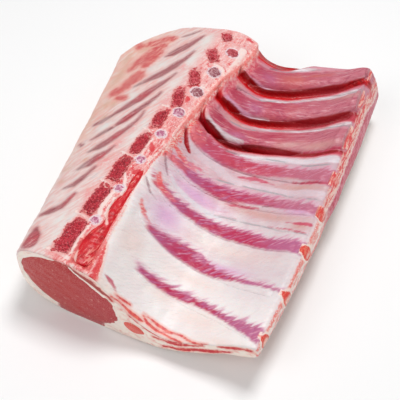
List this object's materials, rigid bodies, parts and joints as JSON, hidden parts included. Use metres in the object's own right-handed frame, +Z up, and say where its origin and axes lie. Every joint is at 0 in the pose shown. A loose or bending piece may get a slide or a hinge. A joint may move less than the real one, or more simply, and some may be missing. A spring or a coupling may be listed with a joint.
{
  "type": "raw rack of lamb",
  "caption": "Raw rack of lamb lying on its fat side, ribs up, with the split spine, the loin muscle at the cut and the sawn rib ends.",
  "frame": {"origin": "centre of the bounding box's underside, on the surface the rack rests on", "axes": "+Z up; +X along the ribs from the split spine to the sawn rib ends; +Y along the spine from the loin end to the shoulder end"},
  "size_m": [0.1778, 0.2234, 0.0486],
  "materials": {
    "fat": "moist cream-pink fat and sinew",
    "eye_muscle": "fine-grained raw red muscle, cut across",
    "rib_membrane": "rib under a wet purple-pink membrane",
    "marrow": "sawn spongy red bone",
    "gristle": "pale ring of gristle round a grey-mauve core",
    "feather_bone": "greyish mauve sawn blade bone",
    "red_muscle": "wet bright red muscle"
  },
  "bodies": {
    "root": {"meat_body": "fat", "loin_eye": "eye_muscle", "side_muscle": "red_muscle", "chine_muscle": "red_muscle", "rib_1": "rib_membrane", "rib_2": "rib_membrane", "rib_3": "rib_membrane", "rib_4": "rib_membrane", "rib_5": "rib_membrane", "rib_6": "rib_membrane", "rib_7": "rib_membrane", "rib_8": "rib_membrane", "vertebra_1": "marrow", "vertebra_2": "marrow", "vertebra_3": "marrow", "vertebra_4": "marrow", "vertebra_5": "marrow", "vertebra_6": "marrow", "vertebra_7": "marrow", "vertebra_8": "marrow", "vertebra_9": "marrow", "rib_joint_1": "gristle", "rib_joint_2": "gristle", "rib_joint_3": "gristle", "rib_joint_4": "gristle", "rib_joint_5": "gristle", "rib_joint_6": "gristle", "rib_joint_7": "gristle", "rib_joint_8": "gristle", "feather_bone_1": "feather_bone", "feather_bone_2": "feather_bone", "feather_bone_3": "feather_bone", "feather_bone_4": "feather_bone", "feather_bone_5": "feather_bone", "feather_bone_6": "feather_bone", "feather_bone_7": "feather_bone", "feather_bone_8": "feather_bone", "feather_bone_9": "feather_bone"}
  },
  "joints": []
}
